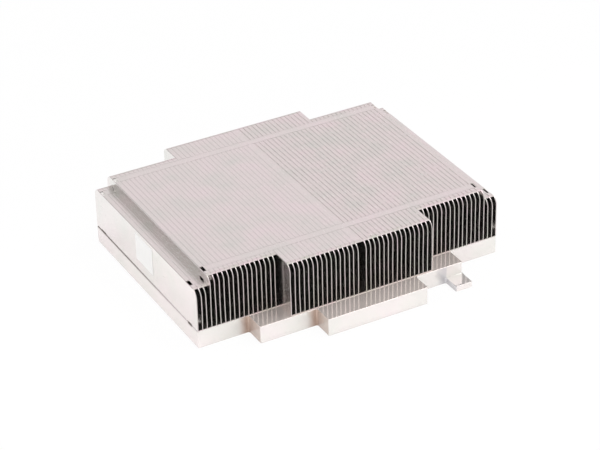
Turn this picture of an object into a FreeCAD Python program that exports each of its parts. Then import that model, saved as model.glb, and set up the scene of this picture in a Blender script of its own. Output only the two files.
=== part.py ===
import FreeCAD, Part
import math
import os
from FreeCAD import Vector

# Passive heatsink for a low (1U) server: a thick stepped base plate that carries two mirrored
# stacks of folded sheet fins. Each fin is one strip with a flange folded over at the top and at
# the bottom. The bottom flanges are soldered to the base, and short tongues on the top flanges
# lock into slots in the next fin's flange, so that each stack zips together.
#
# Frame, in millimetres: the origin is on the underside, below the middle of the fin pack.
# +X runs along the row of fins, +Y from the lug side to the back, +Z up.

# Fin stacks. Fins are counted from each end of the row towards the middle.
FIN_PITCH = 1.78
LOW_FINS = 3
SHORT_FINS = 15
LONG_FINS = 16
LOW_FIN_HEIGHT = 16.3
TALL_FIN_HEIGHT = 20.2
SHORT_FIN_DEPTH = 82.0
LONG_FIN_REACH = 7.8  # a long fin stands this much further out at each side

# Fin sheet
SHEET = 0.3
FOLD_SIZE = 1.2 * SHEET  # a fold is drawn as one flat this far each way from its corner
TOP_CORNER_RADIUS = 3.1

# Interlock: a slot in each fin's upper flange and a tongue at its free edge, near both ends
SLOT_LENGTH = 3.2
SLOT_INSET = 6.1  # from the short fins' ends to the middle of a slot
TONGUE_REACH = 1.3
TONGUE_CLEARANCE = 0.1  # at each end of a tongue
RISER_SLOT_RISE = 0.8  # how far the slot for a low fin's tongue opens above that fin
LOWER_SLOT_RISE = 0.7  # height of the end fins' lower slots

# Base plate
BASE_THICKNESS = 6.8
STEP_MARGIN = 12.3  # the stepped middle is this much wider than the long fins, at each end
STEP_LEDGE = 0.6  # base showing in front of the long fins
LUG_WIDTH = 40.0
LUG_OFFSET = 1.5  # of the lug's middle from the middle of the row
LUG_REACH = 8.0
TAB_WIDTH = 6.8
TAB_REACH = 6.8
TAB_THICKNESS = 2.2
INSIDE_CORNER_RADIUS = 0.8
OUTSIDE_CORNER_RADIUS = 0.5
END_CHAMFER = 0.45  # along the upper edge at both ends of the row

# Blank label on the outer face of the left end fin
LABEL_WIDTH = 13.6
LABEL_HEIGHT = 10.8
LABEL_THICKNESS = 0.12
LABEL_INSET = 34.0  # from the short fins' front ends to the label
LABEL_DROP = 0.9  # from the fold to the label's upper edge

# Worked out from the sizes above
FINS_PER_STACK = LOW_FINS + SHORT_FINS + LONG_FINS
HALF_LENGTH = FINS_PER_STACK * FIN_PITCH
HALF_SHORT = SHORT_FIN_DEPTH / 2
HALF_LONG = HALF_SHORT + LONG_FIN_REACH
HALF_STEP = LONG_FINS * FIN_PITCH + STEP_MARGIN
STEP_Y = HALF_LONG + STEP_LEDGE
SLOT_MIDDLES = (SLOT_INSET - HALF_SHORT, HALF_SHORT - SLOT_INSET)
SAME_POINT = 1e-6


def box(x_range, y_range, z_range):
    """A box between pairs of limits."""
    corner = Vector(x_range[0], y_range[0], z_range[0])
    return Part.makeBox(
        x_range[1] - x_range[0], y_range[1] - y_range[0], z_range[1] - z_range[0], corner
    )


def around(middle, length):
    """The limits of a stretch about its middle."""
    return (middle - length / 2, middle + length / 2)


def rounded_face(corners):
    """A face in the XY plane from (x, y, radius) corners, each turned as a tangent arc."""
    points = [Vector(x, y, 0) for x, y, radius in corners]
    turns = []
    for i, here in enumerate(points):
        radius = corners[i][2]
        before = (points[i - 1] - here).normalize()
        after = (points[(i + 1) % len(points)] - here).normalize()
        half_angle = before.getAngle(after) / 2
        setback = radius / math.tan(half_angle)
        crown = (before + after).normalize() * (radius / math.sin(half_angle) - radius)
        turns.append((here + before * setback, here + crown, here + after * setback))
    edges = []
    for i, (start, crown, end) in enumerate(turns):
        if not start.isEqual(end, SAME_POINT):
            edges.append(Part.Arc(start, crown, end).toShape())
        next_start = turns[(i + 1) % len(turns)][0]
        if not end.isEqual(next_start, SAME_POINT):
            edges.append(Part.LineSegment(end, next_start).toShape())
    return Part.Face(Part.Wire(edges))


def fin_section(height):
    """The fin's folded section in the XZ plane, with its outer face at x = 0."""
    inner = height - SHEET
    points = [
        (FOLD_SIZE, 0),
        (FIN_PITCH, 0),
        (FIN_PITCH, SHEET),
        (SHEET, SHEET),
        (SHEET, inner),
        (FIN_PITCH, inner),
        (FIN_PITCH, height),
        (FOLD_SIZE, height),
        (0, height - FOLD_SIZE),
        (0, FOLD_SIZE),
    ]
    loop = [Vector(x, 0, z) for x, z in points]
    return Part.Face(Part.makePolygon(loop + loop[:1]))


def fin_side(height, half_depth):
    """The fin seen from its side: a strip with its two upper corners rounded."""
    corners = [
        (-half_depth, 0, 0),
        (half_depth, 0, 0),
        (half_depth, height, TOP_CORNER_RADIUS),
        (-half_depth, height, TOP_CORNER_RADIUS),
    ]
    side = rounded_face(corners)
    side.rotate(Vector(0, 0, 0), Vector(1, 1, 1), 120)
    return side.extrude(Vector(FIN_PITCH, 0, 0))


def make_fin(height, half_depth, tongues=True, lower_slots=False, slot_for_low_fin=False):
    """One fin of the left stack, standing on z = 0 with its outer face at x = 0.

    Only the end fins, whose lower folds can be seen, have lower slots. Elsewhere they are left
    out to keep the fins light.
    """
    folded = fin_section(height).extrude(Vector(0, 2 * half_depth, 0))
    folded.translate(Vector(0, -half_depth, 0))
    fin = folded.common(fin_side(height, half_depth))

    slots = [((-SHEET, TONGUE_REACH), (height - SHEET, height))]
    if lower_slots:
        slots.append(((-SHEET, TONGUE_REACH), (0, LOWER_SLOT_RISE)))
    if slot_for_low_fin:
        opening = (LOW_FIN_HEIGHT - SHEET, LOW_FIN_HEIGHT + RISER_SLOT_RISE)
        slots.append(((-SHEET, SHEET), opening))
    fin = fin.cut([
        box(slot_x, around(middle, SLOT_LENGTH), slot_z)
        for slot_x, slot_z in slots
        for middle in SLOT_MIDDLES
    ])

    if tongues:
        tongue_x = (FIN_PITCH, FIN_PITCH + TONGUE_REACH)
        tongue_length = SLOT_LENGTH - 2 * TONGUE_CLEARANCE
        fin = fin.fuse([
            box(tongue_x, around(middle, tongue_length), (height - SHEET, height))
            for middle in SLOT_MIDDLES
        ])
    return fin.removeSplitter()


def fin_pair(fin, number):
    """A fin in its place in the left stack and its twin in the right stack."""
    left = fin.copy()
    left.translate(Vector((number - 1) * FIN_PITCH - HALF_LENGTH, 0, BASE_THICKNESS))
    right = left.copy()
    right.rotate(Vector(0, 0, 0), Vector(0, 0, 1), 180)
    return Part.makeCompound([left, right])


def fin_nodes():
    """Every fin of both stacks, as one named pair for each place in the row."""
    end = make_fin(LOW_FIN_HEIGHT, HALF_SHORT, lower_slots=True)
    low = make_fin(LOW_FIN_HEIGHT, HALF_SHORT)
    riser = make_fin(TALL_FIN_HEIGHT, HALF_SHORT, slot_for_low_fin=True)
    short = make_fin(TALL_FIN_HEIGHT, HALF_SHORT)
    long = make_fin(TALL_FIN_HEIGHT, HALF_LONG)
    middle = make_fin(TALL_FIN_HEIGHT, HALF_LONG, tongues=False)

    kinds = [("low", end)] + [("low", low)] * (LOW_FINS - 1)
    kinds += [("short", riser)] + [("short", short)] * (SHORT_FINS - 1)
    kinds += [("long", long)] * (LONG_FINS - 1) + [("long", middle)]
    return {
        f"{kind}_fin_pair_{number:02d}": fin_pair(fin, number)
        for number, (kind, fin) in enumerate(kinds, start=1)
    }


def base_plate():
    """The stepped plate, with its broad lug and its thin hook tab at the front."""
    inner = INSIDE_CORNER_RADIUS
    outer = OUTSIDE_CORNER_RADIUS
    lug_left, lug_right = around(LUG_OFFSET, LUG_WIDTH)
    lug_y = -STEP_Y - LUG_REACH
    front = [
        (-HALF_LENGTH, -HALF_SHORT, 0),
        (-HALF_STEP, -HALF_SHORT, inner),
        (-HALF_STEP, -STEP_Y, outer),
        (lug_left, -STEP_Y, inner),
        (lug_left, lug_y, outer),
        (lug_right, lug_y, outer),
        (lug_right, -STEP_Y, inner),
        (HALF_STEP, -STEP_Y, outer),
        (HALF_STEP, -HALF_SHORT, inner),
        (HALF_LENGTH, -HALF_SHORT, 0),
    ]
    back = [
        (HALF_LENGTH, HALF_SHORT, 0),
        (HALF_STEP, HALF_SHORT, inner),
        (HALF_STEP, STEP_Y, 0),
        (-HALF_STEP, STEP_Y, 0),
        (-HALF_STEP, HALF_SHORT, inner),
        (-HALF_LENGTH, HALF_SHORT, 0),
    ]
    plate = rounded_face(front + back).extrude(Vector(0, 0, BASE_THICKNESS))
    end_edges = [
        edge
        for edge in plate.Edges
        if abs(abs(edge.CenterOfMass.x) - HALF_LENGTH) < SAME_POINT
        and abs(edge.CenterOfMass.z - BASE_THICKNESS) < SAME_POINT
    ]
    plate = plate.makeChamfer(END_CHAMFER, end_edges)

    tab_x = (HALF_STEP - TAB_WIDTH, HALF_STEP)
    tab_y = (-STEP_Y - TAB_REACH, -STEP_Y)
    tab = [
        (tab_x[0] - inner, tab_y[1], 0),
        (tab_x[0], tab_y[1], inner),
        (tab_x[0], tab_y[0], outer),
        (tab_x[1], tab_y[0], outer),
        (tab_x[1], tab_y[1] + outer, 0),
        (tab_x[0] - inner, tab_y[1] + outer, 0),
    ]
    plate = plate.fuse(rounded_face(tab).extrude(Vector(0, 0, TAB_THICKNESS)))
    return plate.removeSplitter()


def blank_label():
    """A thin bare label on the flat of the left end fin."""
    upper_edge = BASE_THICKNESS + LOW_FIN_HEIGHT - FOLD_SIZE - LABEL_DROP
    front_edge = LABEL_INSET - HALF_SHORT
    return box(
        (-HALF_LENGTH - LABEL_THICKNESS, -HALF_LENGTH),
        (front_edge, front_edge + LABEL_WIDTH),
        (upper_edge - LABEL_HEIGHT, upper_edge),
    )


nodes = {"base_plate": base_plate(), "blank_label": blank_label()}
nodes.update(fin_nodes())

os.makedirs("parts", exist_ok=True)
for name, shape in nodes.items():
    shape.exportStep(f"parts/{name}.step")
    print(name, len(shape.Solids), "solid(s),", round(shape.Volume, 1), "mm3, valid:", shape.isValid())
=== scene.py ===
import math
import random

import bmesh
import bpy
from mathutils import Matrix, Vector


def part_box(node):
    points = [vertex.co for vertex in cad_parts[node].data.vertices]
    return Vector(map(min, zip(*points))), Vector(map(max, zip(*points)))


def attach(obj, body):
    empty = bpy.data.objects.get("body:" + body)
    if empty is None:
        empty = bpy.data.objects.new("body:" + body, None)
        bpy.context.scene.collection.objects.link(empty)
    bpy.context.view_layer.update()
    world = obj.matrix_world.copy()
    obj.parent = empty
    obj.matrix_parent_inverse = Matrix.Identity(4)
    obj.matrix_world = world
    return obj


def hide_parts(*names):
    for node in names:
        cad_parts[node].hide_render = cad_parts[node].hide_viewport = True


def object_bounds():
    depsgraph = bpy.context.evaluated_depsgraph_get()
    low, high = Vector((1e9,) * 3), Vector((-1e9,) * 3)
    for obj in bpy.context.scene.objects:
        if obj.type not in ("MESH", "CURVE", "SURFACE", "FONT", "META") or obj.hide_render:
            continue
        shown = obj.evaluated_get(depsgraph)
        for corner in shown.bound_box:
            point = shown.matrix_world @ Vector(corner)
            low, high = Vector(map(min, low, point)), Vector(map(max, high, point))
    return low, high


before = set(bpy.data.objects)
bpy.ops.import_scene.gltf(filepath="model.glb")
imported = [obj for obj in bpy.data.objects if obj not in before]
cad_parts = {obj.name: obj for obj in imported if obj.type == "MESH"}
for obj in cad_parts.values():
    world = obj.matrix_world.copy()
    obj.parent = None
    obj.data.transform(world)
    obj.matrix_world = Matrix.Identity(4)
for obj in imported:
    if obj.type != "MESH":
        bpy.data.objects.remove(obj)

# Passive heatsink for a low server: a stepped base plate under two stacks of folded sheet fins.
# The right stack is the left one turned half round. Lengths are in metres, in the frame of the
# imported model: +X along the row of fins, +Y from the lug side to the back, +Z up.

MM = 0.001
CAD_LOW, CAD_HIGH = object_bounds()

# Fin sheet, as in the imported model
SHEET = 0.3 * MM
TOP_CORNER_RADIUS = 3.1 * MM
SLOT_LENGTH = 3.2 * MM
SLOT_INSET = 6.1 * MM  # from the short fins' ends to the middle of a slot
TONGUE_REACH = 1.3 * MM
TONGUE_CLEARANCE = 0.1 * MM  # at each end of a tongue
RISER_SLOT_RISE = 0.8 * MM  # how far the slot for a low fin's tongue opens above that fin
LOWER_SLOT_RISE = 0.7 * MM  # height of the end fins' lower slots

# Base plate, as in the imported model
STEP_MARGIN = 12.3 * MM  # the stepped middle is this much wider than the long fins, at each end
LUG_WIDTH = 40.0 * MM
LUG_OFFSET = 1.5 * MM  # of the lug's middle from the middle of the row
TAB_WIDTH = 6.8 * MM
END_CHAMFER = 0.45 * MM

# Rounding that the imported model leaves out
FOLD_RADIUS = 0.33 * MM  # outer radius of the fins' folds
BASE_BEVEL = 0.12 * MM
BROAD_FACE = 10 * MM**2  # the base's faces over this area stay flat, and the strips between are smooth
SMOOTH_UP_TO = math.radians(35)  # edges that turn more than this stay sharp
BEVEL_FROM = math.radians(30)  # the base's edges that turn more than this are broken
FLAT_UP_TO = math.radians(1)  # the base's faces that turn less than this become one
SAME_POINT = 0.001 * MM

# The grid that a fin's sheet is built on
FOLD_STEPS = 4
WEB_STEPS = 9
CORNER_STEPS = 6
COLUMN_SPACING = 4.0 * MM
WEB_MARGIN = 0.25 * MM  # from the lower fold to the web's first row
FLANGE_MARGIN = 0.12 * MM  # from the upper fold to the flange's first row
SLOT_MARGIN = 0.2 * MM  # rows nearer than this to a slot's edge give way to one on the edge
CORNER_MARGIN = 0.2 * MM  # from the rounded corners to the nearest column
SAME_HEIGHT = 0.01 * MM

# How the webs wander from a flat plane near their free ends
BOW = 0.07 * MM
BOW_LIMIT = 0.14 * MM
BOW_REACH = 9.0 * MM

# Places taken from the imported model, with the fin pairs in order from the ends to the middle
FIN_NODES = sorted(
    (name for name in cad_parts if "_fin_pair_" in name),
    key=lambda name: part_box(name)[0].x,
)
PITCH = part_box(FIN_NODES[1])[0].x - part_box(FIN_NODES[0])[0].x
SHORT_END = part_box(FIN_NODES[0])[1].y
LONG_START = min(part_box(name)[0].x for name in FIN_NODES if name.startswith("long"))
SLOT_MIDDLES = (SLOT_INSET - SHORT_END, SHORT_END - SLOT_INSET)
LOW_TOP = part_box(FIN_NODES[0])[1].z
BASE_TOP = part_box("base_plate")[1].z
HALF_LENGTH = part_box("base_plate")[1].x
STEP_START = LONG_START - STEP_MARGIN
LUG_START = LUG_OFFSET - LUG_WIDTH / 2
TAB_START = -STEP_START - TAB_WIDTH

# Colours of the plating, from its greener patches to its pinker ones
SHEET_TINTS = ((0.83, 0.835, 0.80), (0.88, 0.85, 0.83), (0.91, 0.85, 0.85))
EDGE_TINTS = ((0.60, 0.61, 0.55), (0.67, 0.63, 0.61), (0.72, 0.62, 0.64))

# Painted shade and a warmer top tone on the base plate
# Painted shade: brown beside the inside corners left of the base's front steps
BROWN_CORNER_SHADE = (0.55, 0.42, 0.35)
# Painted shade: grey on the tab's left side and the front face beside it
GREY_TAB_SHADE = (0.70, 0.69, 0.71)
TOP_CAST = (0.94, 0.85, 0.81)
# Painted shade: dark in the seam groove under the end fins
SEAM_SHADE = (0.2, 0.18, 0.16)
CORNER_SHADE_REACH = 4.5 * MM
FRONT_CORNER_SHADES = (  # painted shade: x of the corner it lies beside, x where it ends, colour
    (STEP_START, STEP_START, BROWN_CORNER_SHADE),
    (LUG_START, LUG_START, BROWN_CORNER_SHADE),
    (TAB_START, TAB_START + 0.18 * MM, GREY_TAB_SHADE),
)

# Floor and sky
FLOOR_HALF = 3.0
FLOOR_GAP = 0.1 * MM  # between the floor and the object's underside
FLOOR_OPENING = 0.3 * MM  # shorter rays pass through the floor, so that light reaches the underside
FLOOR_WHITE = 0.94  # how much of the floor that the camera sees is white, and the rest has the shadow
FLOOR_SPAN = 100 * MM  # the floor's painted shade runs from this far in front of the middle to as far behind
# Painted shade on the floor, seen in the metal's reflections: darker far in front and most behind
FLOOR_SHADE_FRONT_TO_BACK = [
    (0.1, (0.88, 0.88, 0.88)),
    (0.25, (0.93, 0.93, 0.93)),
    (0.65, (0.915, 0.915, 0.915)),
    (1.0, (0.80, 0.81, 0.82)),
]
SKY_FRONT_TO_BACK = [
    (0.0, (0.99, 0.98, 0.97)),
    (0.5, (0.88, 0.86, 0.85)),
    (0.8, (0.82, 0.755, 0.77)),
    (1.0, (0.79, 0.735, 0.75)),
]
FLAG_DIRECTION = Vector((-0.50, 0.77, 0.39)).normalized()  # a dim patch behind to the left
FLAG_EDGE = 0.78
FLAG_DEPTH = 0.4
WHITE = (1.0, 1.0, 1.0, 1.0)

# Camera
CAMERA_AZIMUTH = math.radians(-28.26)
CAMERA_ELEVATION = math.radians(31.18)
CAMERA_ROLL = math.radians(-1.46)
CAMERA_DISTANCE = 813.4 * MM
CAMERA_AIM = Vector((-0.45, -0.86, -1.60)) * MM  # from the middle of the object's box
CAMERA_LENS = 134.7  # mm, on the sensor below
SENSOR_WIDTH = 36.0


# ---------------------------------------------------------------- node trees


def new_tree(owner):
    """The empty node tree of a material or world."""
    owner.use_nodes = True
    owner.node_tree.nodes.clear()
    return owner.node_tree


def add(tree, kind, inputs=(), **settings):
    """A new node. Each input is (socket, value), where the value may be another node's output."""
    node = tree.nodes.new(kind)
    for name, value in settings.items():
        setattr(node, name, value)
    for socket, value in inputs:
        if isinstance(value, bpy.types.NodeSocket):
            tree.links.new(value, node.inputs[socket])
        else:
            node.inputs[socket].default_value = value
    return node


def ramp(tree, factor, stops):
    """A colour ramp over (position, colour) stops."""
    node = add(tree, "ShaderNodeValToRGB", [("Fac", factor)])
    elements = node.color_ramp.elements
    while len(elements) < len(stops):
        elements.new(1.0)
    for element, (position, colour) in zip(elements, stops):
        element.position = position
        element.color = (*colour, 1.0)
    return node.outputs["Color"]


def stretched_noise(tree, scale, detail, stretch=(1, 1, 1)):
    """Noise in the object's own space, with features about 1/scale metres across."""
    place = add(tree, "ShaderNodeTexCoord").outputs["Object"]
    mapping = add(tree, "ShaderNodeMapping", [("Vector", place), ("Scale", stretch)])
    inputs = [
        ("Vector", mapping.outputs["Vector"]),
        ("Scale", scale),
        ("Detail", detail),
        ("Roughness", 0.55),
    ]
    return add(tree, "ShaderNodeTexNoise", inputs).outputs["Fac"]


def between(tree, factor, low, high):
    """The factor's 0.3 to 0.7 spread over low to high."""
    inputs = [
        ("Value", factor),
        ("From Min", 0.3),
        ("From Max", 0.7),
        ("To Min", low),
        ("To Max", high),
    ]
    return add(tree, "ShaderNodeMapRange", inputs).outputs["Result"]


def spread(tree, value, low, high, top=1.0):
    """0 to top as a value goes from low to high, smoothly."""
    inputs = [("Value", value), ("From Min", low), ("From Max", high), ("To Max", top)]
    node = add(tree, "ShaderNodeMapRange", inputs, interpolation_type="SMOOTHSTEP")
    return node.outputs["Result"]


def calculate(tree, operation, *values):
    """A value worked out from one or two others."""
    return add(tree, "ShaderNodeMath", enumerate(values), operation=operation).outputs["Value"]


def place_in_object(tree):
    """X, Y and Z in the object's own space."""
    place = add(tree, "ShaderNodeTexCoord").outputs["Object"]
    return add(tree, "ShaderNodeSeparateXYZ", [("Vector", place)]).outputs


def tinted(tree, factor, colour, overlay):
    """A colour that goes over to an overlay colour as the factor rises."""
    factor_socket, colour_socket, overlay_socket, result = 0, 6, 7, 2
    inputs = [(factor_socket, factor), (colour_socket, colour), (overlay_socket, (*overlay, 1.0))]
    return add(tree, "ShaderNodeMix", inputs, data_type="RGBA").outputs[result]


def shader_mix(tree, factor, first, second):
    """One shader that goes over to another as the factor rises."""
    inputs = [("Fac", factor), (1, first.outputs[0]), (2, second.outputs[0])]
    return add(tree, "ShaderNodeMixShader", inputs)


# ---------------------------------------------------------------- materials


def painted_corner_shade(tree, axes, colour):
    """The base's colour with painted shade beside each inside corner of its front faces."""
    front = spread(tree, axes["Y"], 0.4 * MM - SHORT_END, 0.1 * MM - SHORT_END)
    above = spread(tree, axes["Z"], 0.02 * MM, 0.2 * MM)
    face = calculate(tree, "MULTIPLY", front, above)
    for corner, limit, overlay in FRONT_CORNER_SHADES:
        near = spread(tree, axes["X"], corner - CORNER_SHADE_REACH, corner - 0.6 * MM)
        before = spread(tree, axes["X"], limit + 0.05 * MM, limit - 0.05 * MM)
        beside = calculate(tree, "MULTIPLY", near, before)
        colour = tinted(tree, calculate(tree, "MULTIPLY", face, beside), colour, overlay)
    return colour


def painted_seam_shade(tree, axes, colour):
    """The base's colour with painted shade in the seam under the end fins, most at the back and the
    slots.
    """
    end = calculate(tree, "ABSOLUTE", axes["X"])
    side = calculate(tree, "ABSOLUTE", axes["Y"])
    high = spread(tree, axes["Z"], BASE_TOP - 2.2 * END_CHAMFER, BASE_TOP - 0.6 * END_CHAMFER)
    outer = spread(tree, end, HALF_LENGTH - 1.5 * END_CHAMFER, HALF_LENGTH - 1.2 * END_CHAMFER)
    seam = calculate(tree, "MULTIPLY", high, outer)
    along = spread(tree, axes["Y"], -1.2 * SHORT_END, 0.6 * SHORT_END, 0.9)
    off_slot = calculate(tree, "ABSOLUTE", calculate(tree, "SUBTRACT", side, SLOT_MIDDLES[1]))
    by_slot = spread(tree, off_slot, 0.6 * SLOT_LENGTH, 0.4 * SLOT_LENGTH)
    amount = calculate(tree, "MAXIMUM", along, by_slot)
    return tinted(tree, calculate(tree, "MULTIPLY", seam, amount), colour, SEAM_SHADE)


def base_tone_and_painted_shade(tree, colour):
    """The base's colour with its painted corner shade, a warmer cast on its upper face, and painted
    shade in its seam.
    """
    axes = place_in_object(tree)
    colour = painted_corner_shade(tree, axes, colour)
    top = spread(tree, axes["Z"], BASE_TOP - 0.08 * MM, BASE_TOP - 0.02 * MM)
    colour = tinted(tree, top, colour, TOP_CAST)
    return painted_seam_shade(tree, axes, colour)


def finish_surface(tree, height, strength, depth, inputs):
    """Ends a tree in a surface with these inputs and a bump of this height."""
    bump_inputs = [("Height", height), ("Strength", strength), ("Distance", depth)]
    bump = add(tree, "ShaderNodeBump", bump_inputs).outputs["Normal"]
    shader = add(tree, "ShaderNodeBsdfPrincipled", [*inputs, ("Normal", bump)])
    add(tree, "ShaderNodeOutputMaterial", [("Surface", shader.outputs["BSDF"])])


def plated_metal(
    name, tints, roughness, grain, grain_depth, metallic=1.0, patch_scale=70.0, marks=None
):
    """Nickel plating: mottled in tone, with a fine grain stretched as the metal was rolled or cut."""
    material = bpy.data.materials.new(name)
    tree = new_tree(material)
    mottle = stretched_noise(tree, patch_scale, detail=5.0)
    streaks = stretched_noise(tree, 900.0, detail=3.0, stretch=grain)
    colour = ramp(tree, mottle, [(0.32, tints[0]), (0.5, tints[1]), (0.66, tints[2])])
    if marks:
        colour = marks(tree, colour)
    inputs = [
        ("Base Color", colour),
        ("Metallic", metallic),
        ("Roughness", between(tree, streaks, *roughness)),
    ]
    finish_surface(tree, streaks, 0.35, grain_depth, inputs)
    return material


def label_paper():
    """Matt white label stock with faint fibres."""
    material = bpy.data.materials.new("label_paper")
    tree = new_tree(material)
    fibres = stretched_noise(tree, 2500.0, detail=6.0, stretch=(1, 1, 3))
    colour = ramp(tree, fibres, [(0.3, (0.81, 0.82, 0.81)), (0.7, (0.86, 0.87, 0.86))])
    finish_surface(tree, fibres, 0.3, 0.02 * MM, [("Base Color", colour), ("Roughness", 0.6)])
    return material


FIN_SHEET = plated_metal(
    "plated_fin_sheet",
    SHEET_TINTS,
    roughness=(0.18, 0.28),
    grain=(6, 0.5, 2),
    grain_depth=0.02 * MM,
)
FIN_EDGE = plated_metal(
    "sheared_fin_edge",
    EDGE_TINTS,
    roughness=(0.34, 0.46),
    grain=(4, 4, 0.7),
    grain_depth=0.03 * MM,
    metallic=0.8,
    patch_scale=220.0,
)
BASE_METAL = plated_metal(
    "plated_base",
    SHEET_TINTS,
    roughness=(0.06, 0.12),
    grain=(1, 1, 1),
    grain_depth=0.004 * MM,
    metallic=0.56,
    # the base plate's painted shade and warmer top tone
    marks=base_tone_and_painted_shade,
)
LABEL_PAPER = label_paper()


# ---------------------------------------------------------------- folded fins


def fold_rows(centre_z, first_angle, last_angle):
    """The rows of a fin's section that go round a fold, about a centre at a height."""
    radius = FOLD_RADIUS - SHEET / 2
    rows = []
    for step in range(FOLD_STEPS + 1):
        angle = first_angle + (last_angle - first_angle) * step / FOLD_STEPS
        out_x, out_z = math.cos(angle), math.sin(angle)
        rows.append((FOLD_RADIUS + radius * out_x, centre_z + radius * out_z, out_x, out_z))
    return rows


class FinShape:
    """The folded sheet of one fin as a grid: rows follow its section, columns run along Y."""

    def __init__(self, height, half_depth, slots, tongues):
        self.height = height
        self.half_depth = half_depth
        self.slots = slots
        self.tongues = tongues
        self.rows = self.section()
        self.columns = self.stations()

    def section(self):
        """(x, z, normal x, normal z) along the middle of the sheet, from foot to upper flange."""
        foot = [PITCH, (PITCH + FOLD_RADIUS) / 2]
        flange = [FOLD_RADIUS + FLANGE_MARGIN, TONGUE_REACH, (PITCH + TONGUE_REACH) / 2, PITCH]
        if self.tongues:
            flange.append(PITCH + TONGUE_REACH)
        rows = [(x, SHEET / 2, 0, -1) for x in foot]
        rows += fold_rows(FOLD_RADIUS, -math.pi / 2, -math.pi)
        rows += [(SHEET / 2, z, -1, 0) for z in self.web_heights()]
        rows += fold_rows(self.height - FOLD_RADIUS, math.pi, math.pi / 2)
        rows += [(x, self.height - SHEET / 2, 0, 1) for x in flange]
        return rows

    def web_heights(self):
        """Heights of the rows between the folds, closer together at the rounded corners."""
        start = FOLD_RADIUS
        corner = self.height - TOP_CORNER_RADIUS
        heights = [start + WEB_MARGIN]
        heights += [start + (corner - start) * step / WEB_STEPS for step in range(1, WEB_STEPS)]
        last = math.asin(1 - FOLD_RADIUS / TOP_CORNER_RADIUS)
        turns = [last * step / CORNER_STEPS for step in range(CORNER_STEPS)]
        heights += [corner + TOP_CORNER_RADIUS * math.sin(turn) for turn in turns]
        for edge in (edge for slot in self.slots for edge in slot):
            if FOLD_RADIUS < edge < self.height - FOLD_RADIUS:
                heights = [z for z in heights if abs(z - edge) > SLOT_MARGIN] + [edge]
        return sorted(heights)

    def stations(self):
        """Y of the columns, with one at each end of every slot and tongue."""
        marks = [-self.half_depth, self.half_depth]
        straight = self.half_depth - TOP_CORNER_RADIUS - CORNER_MARGIN
        marks += [-straight, straight]
        for middle in SLOT_MIDDLES:
            for reach in (SLOT_LENGTH / 2, SLOT_LENGTH / 2 - TONGUE_CLEARANCE):
                marks += [middle - reach, middle + reach]
        marks.sort()
        columns = []
        for low, high in zip(marks, marks[1:]):
            steps = max(1, round((high - low) / COLUMN_SPACING))
            columns += [low + (high - low) * step / steps for step in range(steps)]
        return columns + [self.half_depth]

    def inset(self, z):
        """How far the rounded upper corner cuts in at a height."""
        rise = z - (self.height - TOP_CORNER_RADIUS)
        if rise <= 0:
            return 0.0
        return TOP_CORNER_RADIUS - math.sqrt(max(0.0, TOP_CORNER_RADIUS**2 - rise**2))

    def kept(self, row, column):
        """Whether the sheet is there in the cell above and beside a grid point."""
        x, z, _, normal_z = ((a + b) / 2 for a, b in zip(self.rows[row], self.rows[row + 1]))
        y = (self.columns[column] + self.columns[column + 1]) / 2
        off_slot = min(abs(y - middle) for middle in SLOT_MIDDLES)
        if x > PITCH:
            return off_slot < SLOT_LENGTH / 2 - TONGUE_CLEARANCE
        if off_slot > SLOT_LENGTH / 2 or x > TONGUE_REACH:
            return True
        outer_z = z + normal_z * SHEET / 2
        return not any(low < outer_z < high + SAME_HEIGHT for low, high in self.slots)

    def points(self, bow):
        """The outer grid's points, then the inner grid's, with the web bowed by bow(y, z)."""
        both = []
        for side in (SHEET / 2, -SHEET / 2):
            for x, z, normal_x, normal_z in self.rows:
                end = self.half_depth - self.inset(z + normal_z * side)
                for y in self.columns:
                    y = max(-end, min(end, y))
                    shift = bow(y, z)
                    both.append((x + normal_x * side + shift, y, z + normal_z * side))
        return both

    def faces(self):
        """Quads with the sheet's finish, then those of the sheared edges at its ends and slots."""
        wide = len(self.columns)
        inner = len(self.rows) * wide
        cells = [
            (row, column)
            for row in range(len(self.rows) - 1)
            for column in range(wide - 1)
            if self.kept(row, column)
        ]
        present = set(cells)
        plated, sheared = [], []
        for row, column in cells:
            first = row * wide + column
            corners = (first, first + 1, first + wide + 1, first + wide)
            plated += [corners, tuple(inner + corner for corner in reversed(corners))]
            neighbours = ((row - 1, column), (row, column + 1), (row + 1, column), (row, column - 1))
            for neighbour, start, end in zip(neighbours, corners, corners[1:] + corners[:1]):
                if neighbour not in present:
                    rim = sheared if neighbour[0] == row else plated
                    rim.append((end, start, inner + start, inner + end))
        return plated, sheared


def bowing(height, half_depth, seed, inward_only):
    """A smooth seeded bow of the web near its two free ends, nothing at the folds."""
    draw = random.Random(seed)
    ends = []
    for _ in range(2):
        bow = max(-BOW_LIMIT, min(BOW_LIMIT, draw.gauss(0, BOW)))
        ends.append((abs(bow) if inward_only else bow, draw.gauss(0, BOW / 3)))

    def shift(y, z):
        rise = (z - FOLD_RADIUS) / (height - 2 * FOLD_RADIUS)
        if not 0 < rise < 1:
            return 0.0
        total = 0.0
        for (bow, wave), end in zip(ends, (-half_depth, half_depth)):
            fade = math.exp(-abs(y - end) / BOW_REACH)
            waves = bow * math.sin(math.pi * rise)
            if not inward_only:
                waves += wave * math.sin(2 * math.pi * rise)
            total += fade * waves
        return total

    return shift


def fin_mesh(shape, place, seed, turned, end_fin):
    """One fin's mesh in the frame. The right stack's fins are the left's turned half round."""
    plated, sheared = shape.faces()
    points = shape.points(bowing(shape.height, shape.half_depth, seed, end_fin))
    mesh = bpy.data.meshes.new("fin")
    mesh.from_pydata(points, [], plated + sheared)
    mesh.transform(Matrix.Translation(place))
    if turned:
        mesh.transform(Matrix.Rotation(math.pi, 4, "Z"))
    mesh.polygons.foreach_set("material_index", [0] * len(plated) + [1] * len(sheared))
    return mesh


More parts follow.
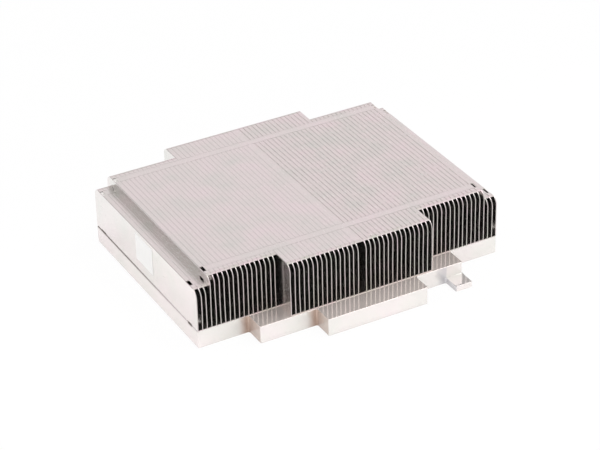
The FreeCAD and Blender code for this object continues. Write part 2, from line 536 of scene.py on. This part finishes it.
def tidy(mesh):
    """Drops points that no face uses and sets the shading."""
    work = bmesh.new()
    work.from_mesh(mesh)
    loose = [point for point in work.verts if not point.link_faces]
    bmesh.ops.delete(work, geom=loose, context="VERTS")
    bmesh.ops.recalc_face_normals(work, faces=work.faces)
    work.to_mesh(mesh)
    work.free()
    mesh.shade_smooth()
    mesh.set_sharp_from_angle(angle=SMOOTH_UP_TO)


def join_meshes(name, meshes):
    """One mesh from several."""
    joined = bmesh.new()
    for mesh in meshes:
        joined.from_mesh(mesh)
        bpy.data.meshes.remove(mesh)
    whole = bpy.data.meshes.new(name)
    joined.to_mesh(whole)
    joined.free()
    tidy(whole)
    return whole


def add_piece(name, mesh, materials, node):
    """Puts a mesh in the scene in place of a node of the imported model."""
    piece = bpy.data.objects.new(name, mesh)
    bpy.context.scene.collection.objects.link(piece)
    for material in materials:
        mesh.materials.append(material)
    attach(piece, "root")
    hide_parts(node)
    return piece


def build_fins():
    """Every pair of fins, each in place of its node."""
    shapes = {}
    for number, node in enumerate(FIN_NODES):
        low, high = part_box(node)
        before = FIN_NODES[number - 1]
        height = high.z - low.z
        slots = [(height - SHEET, height)]  # each as its lowest and highest z
        if number == 0:
            slots.append((0, LOWER_SLOT_RISE))
        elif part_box(before)[1].z < high.z - MM:
            top = LOW_TOP - low.z
            slots.append((top - SHEET, top + RISER_SLOT_RISE))
        tongues = number < len(FIN_NODES) - 1
        key = (round(high.z / MM, 3), round(high.y / MM, 3), tuple(slots), tongues)
        if key not in shapes:
            shapes[key] = FinShape(height, high.y, slots, tongues)
        shape = shapes[key]
        place = Vector((low.x, 0, low.z))
        pair = [
            fin_mesh(shape, place, 2 * number + turned, turned, number == 0)
            for turned in (0, 1)
        ]
        name = node.replace("pair", "sheets")
        mesh = join_meshes(name, pair)
        add_piece(name, mesh, [FIN_SHEET, FIN_EDGE], node)


def build_base():
    """The base plate with its edges lightly broken."""
    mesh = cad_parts["base_plate"].data.copy()
    mesh.name = "base_casting"
    mesh.materials.clear()
    work = bmesh.new()
    work.from_mesh(mesh)
    bmesh.ops.remove_doubles(work, verts=work.verts, dist=SAME_POINT)
    bmesh.ops.dissolve_limit(work, angle_limit=FLAT_UP_TO, verts=work.verts, edges=work.edges)
    sharp = [edge for edge in work.edges if edge.calc_face_angle(0) > BEVEL_FROM]
    bmesh.ops.bevel(work, geom=sharp, offset=BASE_BEVEL, segments=3, profile=0.5, affect="EDGES")
    work.to_mesh(mesh)
    work.free()
    tidy(mesh)
    for polygon in mesh.polygons:
        if polygon.area > BROAD_FACE:
            polygon.use_smooth = False
    add_piece("base_with_broken_edges", mesh, [BASE_METAL], "base_plate")


def dress_label():
    """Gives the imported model's label its paper."""
    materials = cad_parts["blank_label"].data.materials
    materials.clear()
    materials.append(LABEL_PAPER)


# ---------------------------------------------------------------- stage, light and camera


def towards(tree, direction, aim, low, high):
    """0 to 1 as a direction's cosine to an aim goes from low to high."""
    inputs = [(0, direction), (1, aim)]
    cosine = add(tree, "ShaderNodeVectorMath", inputs, operation="DOT_PRODUCT").outputs["Value"]
    inputs = [("Value", cosine), ("From Min", low), ("From Max", high)]
    return add(tree, "ShaderNodeMapRange", inputs).outputs["Result"]


def pale_floor():
    """A matt floor with painted shade, darker far in front and most behind, that the camera sees as
    white with a soft shadow, and that is open from below.
    """
    material = bpy.data.materials.new("pale_floor")
    tree = new_tree(material)
    path = add(tree, "ShaderNodeLightPath").outputs
    behind = spread(tree, place_in_object(tree)["Y"], -FLOOR_SPAN, FLOOR_SPAN)
    # painted shade on the floor, darker far in front and most behind
    matt = add(tree, "ShaderNodeBsdfDiffuse", [("Color", ramp(tree, behind, FLOOR_SHADE_FRONT_TO_BACK))])
    white = add(tree, "ShaderNodeEmission", [("Color", WHITE), ("Strength", 1.0)])
    seen = calculate(tree, "MULTIPLY", path["Is Camera Ray"], FLOOR_WHITE)
    closed = shader_mix(tree, seen, matt, white)
    below = add(tree, "ShaderNodeNewGeometry").outputs["Backfacing"]
    short = calculate(tree, "LESS_THAN", path["Ray Length"], FLOOR_OPENING)
    clear = add(tree, "ShaderNodeBsdfTransparent")
    surface = shader_mix(tree, calculate(tree, "MAXIMUM", below, short), closed, clear)
    add(tree, "ShaderNodeOutputMaterial", [("Surface", surface.outputs[0])])
    return material


def build_floor():
    """A wide floor just under the object."""
    half = FLOOR_HALF
    mesh = bpy.data.meshes.new("floor")
    corners = [(-half, -half, 0), (half, -half, 0), (half, half, 0), (-half, half, 0)]
    mesh.from_pydata(corners, [], [(0, 1, 2, 3)])
    mesh.materials.append(pale_floor())
    floor = bpy.data.objects.new("floor", mesh)
    bpy.context.scene.collection.objects.link(floor)
    floor.location.z = CAD_LOW.z - FLOOR_GAP


def build_world():
    """A studio sky, bright in front and dim behind, that the camera sees as white."""
    world = bpy.data.worlds.new("studio")
    bpy.context.scene.world = world
    tree = new_tree(world)
    direction = add(tree, "ShaderNodeTexCoord").outputs["Generated"]
    side = towards(tree, direction, (0, 1, 0), -1.0, 1.0)
    sky = ramp(tree, side, SKY_FRONT_TO_BACK)
    flag = towards(tree, direction, FLAG_DIRECTION, FLAG_EDGE, 1.0)
    level = calculate(tree, "SUBTRACT", 1.0, calculate(tree, "MULTIPLY", flag, FLAG_DEPTH))
    light = add(tree, "ShaderNodeBackground", [("Color", sky), ("Strength", level)])
    white = add(tree, "ShaderNodeBackground", [("Color", WHITE), ("Strength", 1.0)])
    seen = add(tree, "ShaderNodeLightPath").outputs["Is Camera Ray"]
    surface = shader_mix(tree, seen, light, white)
    add(tree, "ShaderNodeOutputWorld", [("Surface", surface.outputs[0])])


def direction_at(azimuth, elevation):
    """The direction from the object at an azimuth, which is 0 in front, and an elevation."""
    level = math.cos(elevation)
    return Vector((math.sin(azimuth) * level, -math.cos(azimuth) * level, math.sin(elevation)))


def add_softbox(name, azimuth, elevation, distance, size, power):
    """A square area lamp that faces the object from a direction round it, given in degrees."""
    back = direction_at(math.radians(azimuth), math.radians(elevation))
    lamp = bpy.data.lights.new(name, "AREA")
    lamp.size = size
    lamp.energy = power
    holder = bpy.data.objects.new(name, lamp)
    holder.location = back * distance
    holder.rotation_mode = "QUATERNION"
    holder.rotation_quaternion = (-back).to_track_quat("-Z", "Y")
    bpy.context.scene.collection.objects.link(holder)


def build_camera():
    """A long lens from the front left, level but for a slight roll."""
    back = direction_at(CAMERA_AZIMUTH, CAMERA_ELEVATION)
    right = Vector((math.cos(CAMERA_AZIMUTH), math.sin(CAMERA_AZIMUTH), 0))
    up = back.cross(right)
    rolled_right = right * math.cos(CAMERA_ROLL) + up * math.sin(CAMERA_ROLL)
    rolled_up = up * math.cos(CAMERA_ROLL) - right * math.sin(CAMERA_ROLL)
    place = (CAD_LOW + CAD_HIGH) / 2 + CAMERA_AIM + back * CAMERA_DISTANCE

    lens = bpy.data.cameras.new("camera")
    lens.lens = CAMERA_LENS
    lens.sensor_width = SENSOR_WIDTH
    camera = bpy.data.objects.new("camera", lens)
    turn = Matrix((rolled_right, rolled_up, back)).transposed().to_4x4()
    camera.matrix_world = Matrix.Translation(place) @ turn
    bpy.context.scene.collection.objects.link(camera)
    bpy.context.scene.camera = camera


build_fins()
build_base()
dress_label()
build_floor()
build_world()
add_softbox("key_softbox", azimuth=72, elevation=60, distance=1.0, size=0.6, power=3.0)
add_softbox("fill_softbox", azimuth=-95, elevation=50, distance=0.9, size=0.6, power=1.9)
build_camera()
bpy.context.scene.view_settings.view_transform = "Standard"
